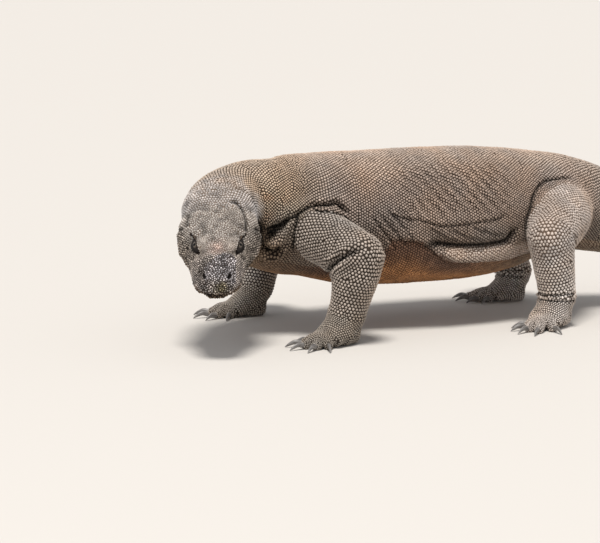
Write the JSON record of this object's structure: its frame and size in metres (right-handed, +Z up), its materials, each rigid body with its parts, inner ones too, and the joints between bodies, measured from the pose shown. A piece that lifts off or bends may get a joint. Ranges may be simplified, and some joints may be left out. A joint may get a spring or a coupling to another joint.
{
  "type": "komodo dragon",
  "caption": "Standing Komodo dragon with a heavy scaly body, lowered head turned to its left, splayed clawed feet and a long tail laid along the floor.",
  "frame": {"origin": "on the floor, under the middle of the animal's box", "axes": "+Z up, -X towards the head end, -Y towards the animal's left flank"},
  "size_m": [2.3178, 0.607, 0.4112],
  "materials": {
    "hide": "matt grey-brown beaded scales, browner on the belly",
    "eye": "polished dark brown",
    "claw": "satin dark horn with paler edges"
  },
  "bodies": {
    "root": {"head": "hide", "lower_jaw": "hide", "eye_left": "eye", "eye_right": "eye", "neck": "hide", "chest": "hide", "belly": "hide", "hips": "hide", "tail_base": "hide", "tail_middle": "hide", "tail_slim": "hide", "tail_tip": "hide", "upper_arm_left": "hide", "forearm_left": "hide", "hand_left": "hide", "claw_hand_left_1": "claw", "claw_hand_left_2": "claw", "claw_hand_left_3": "claw", "claw_hand_left_4": "claw", "claw_hand_left_5": "claw", "upper_arm_right": "hide", "forearm_right": "hide", "hand_right": "hide", "claw_hand_right_1": "claw", "claw_hand_right_2": "claw", "claw_hand_right_3": "claw", "claw_hand_right_4": "claw", "claw_hand_right_5": "claw", "thigh_left": "hide", "shank_left": "hide", "foot_left": "hide", "claw_foot_left_1": "claw", "claw_foot_left_2": "claw", "claw_foot_left_3": "claw", "claw_foot_left_4": "claw", "claw_foot_left_5": "claw", "thigh_right": "hide", "shank_right": "hide", "foot_right": "hide", "claw_foot_right_1": "claw", "claw_foot_right_2": "claw", "claw_foot_right_3": "claw", "claw_foot_right_4": "claw", "claw_foot_right_5": "claw"}
  },
  "joints": []
}
